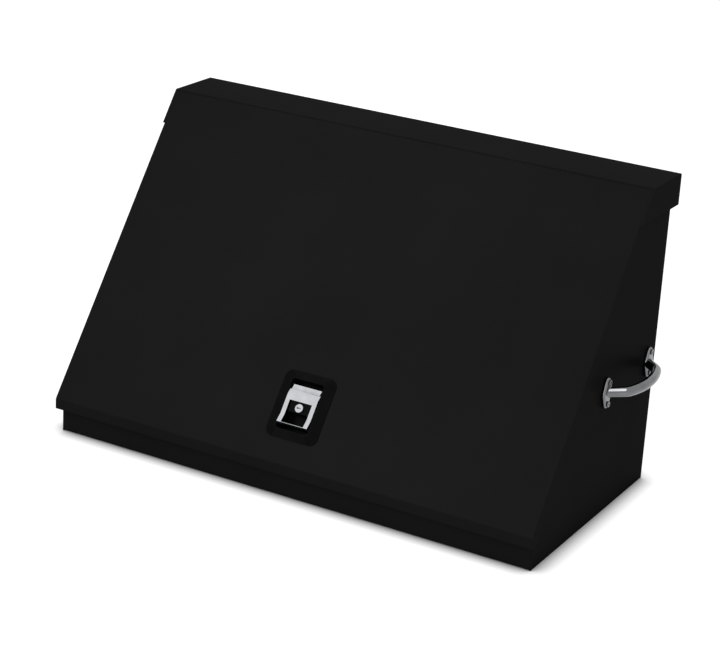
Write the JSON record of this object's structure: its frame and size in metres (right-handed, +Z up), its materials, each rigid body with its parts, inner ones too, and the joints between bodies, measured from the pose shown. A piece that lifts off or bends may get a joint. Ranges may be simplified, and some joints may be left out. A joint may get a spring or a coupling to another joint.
{
  "type": "machinist tool chest",
  "caption": "Wedge-shaped sheet-steel tool chest with a slanted lift-up lid on gas struts, keyed paddle latch, side bow handles and stepped foam-lined trays.",
  "frame": {"origin": "bottom centre of the closed chest's bounding box", "axes": "+X to the chest's right with the lip at the front, +Y to the back, +Z up"},
  "size_m": [0.8282, 0.381, 0.449],
  "materials": {
    "powder_coat": "satin black powder coat",
    "inner_paint": "satin black paint",
    "rubber": "matte black EPDM",
    "foam": "closed-cell foam sheet",
    "zinc_steel": "bright zinc plate",
    "spring_steel": "oiled spring wire",
    "hinge_black": "satin black",
    "chrome": "polished chrome plate",
    "latch_black": "semi-gloss black",
    "strut_black": "gloss black",
    "strut_rod": "hard chrome rod",
    "socket_plastic": "black nylon"
  },
  "bodies": {
    "case": {"case_wrapper": "powder_coat", "side_panel_left": "powder_coat", "side_panel_right": "powder_coat", "rim_seal": "rubber", "tray_stand": "inner_paint", "stand_rivets": "zinc_steel", "tray_front": "inner_paint", "foam_front": "foam", "tray_middle": "inner_paint", "foam_middle": "foam", "tray_rear": "inner_paint", "foam_rear": "foam", "striker": "zinc_steel", "striker_rivets": "zinc_steel", "hinge_leaf_case": "hinge_black", "hinge_pin": "zinc_steel", "hinge_rivets_case": "zinc_steel", "strut_bracket_case_left": "zinc_steel", "strut_bracket_case_right": "zinc_steel", "ball_studs_case": "zinc_steel", "handle_left": "chrome", "handle_right": "chrome", "handle_screws": "chrome", "handle_nuts": "zinc_steel"},
    "lid": {"lid_panel": "powder_coat", "lid_cap": "powder_coat", "lid_stiffener_left": "inner_paint", "lid_stiffener_right": "inner_paint", "hinge_leaf_lid": "hinge_black", "hinge_rivets_lid": "zinc_steel", "strut_bracket_lid_left": "zinc_steel", "strut_bracket_lid_right": "zinc_steel", "ball_studs_lid": "zinc_steel", "latch_gasket": "rubber", "latch_dish": "latch_black", "latch_frame": "zinc_steel", "latch_nuts": "zinc_steel", "latch_pivot_pin": "zinc_steel", "paddle_spring": "spring_steel", "bolt_spring": "spring_steel", "lock_housing": "latch_black", "lock_nut": "zinc_steel"},
    "paddle": {"latch_paddle": "chrome"},
    "bolt": {"latch_bolt": "zinc_steel", "bolt_pins": "zinc_steel"},
    "lock": {"lock_plug": "chrome", "lock_cam": "zinc_steel", "lock_cam_screw": "zinc_steel"},
    "cylinder_left": {"strut_cylinder_left": "strut_black", "strut_gland_left": "strut_black", "cylinder_socket_left": "socket_plastic"},
    "rod_left": {"strut_rod_left": "strut_rod", "rod_socket_left": "socket_plastic"},
    "cylinder_right": {"strut_cylinder_right": "strut_black", "strut_gland_right": "strut_black", "cylinder_socket_right": "socket_plastic"},
    "rod_right": {"strut_rod_right": "strut_rod", "rod_socket_right": "socket_plastic"}
  },
  "joints": [
    {"name": "lid_hinge", "type": "hinge", "parent": "case", "child": "lid", "pos_m": [0, 0.18482, 0.4086], "axis": [-1, 0, 0], "range_deg": [0, 60]},
    {"name": "paddle_pull", "type": "hinge", "parent": "lid", "child": "paddle", "pos_m": [0, -0.12135, 0.13525], "axis": [-1, 0, 0], "range_deg": [0, 36], "stiffness_Nm_per_rad": 0.3, "springref_deg": -20.05, "deforming": ["paddle_spring"]},
    {"name": "bolt_slide", "type": "slide", "parent": "lid", "child": "bolt", "axis": [0, 0.5879, 0.809], "range_m": [0, 0.009], "deforming": ["bolt_spring"]},
    {"name": "lock_turn", "type": "hinge", "parent": "lid", "child": "lock", "pos_m": [0, -0.14832, 0.12024], "axis": [0, -0.809, 0.5879], "range_deg": [0, 90]},
    {"name": "cylinder_swing_left", "type": "hinge", "parent": "case", "child": "cylinder_left", "pos_m": [-0.3406, 0.16572, 0.30027], "axis": [-1, 0, 0], "range_deg": [0, 30]},
    {"name": "rod_swing_left", "type": "hinge", "parent": "lid", "child": "rod_left", "pos_m": [-0.3406, 0.07565, 0.39519], "axis": [-1, 0, 0], "range_deg": [-30, 0]},
    {"name": "cylinder_swing_right", "type": "hinge", "parent": "case", "child": "cylinder_right", "pos_m": [0.3406, 0.16572, 0.30027], "axis": [-1, 0, 0], "range_deg": [0, 30]},
    {"name": "rod_swing_right", "type": "hinge", "parent": "lid", "child": "rod_right", "pos_m": [0.3406, 0.07565, 0.39519], "axis": [-1, 0, 0], "range_deg": [-30, 0]}
  ],
  "couplings": [
    {"joint": "bolt_slide", "follows": "paddle_pull", "m_per_rad": 0.014324},
    {"joint": "cylinder_swing_left", "follows": "lid_hinge", "ratio": 0.5},
    {"joint": "rod_swing_left", "follows": "lid_hinge", "ratio": -0.5},
    {"joint": "cylinder_swing_right", "follows": "lid_hinge", "ratio": 0.5},
    {"joint": "rod_swing_right", "follows": "lid_hinge", "ratio": -0.5}
  ]
}
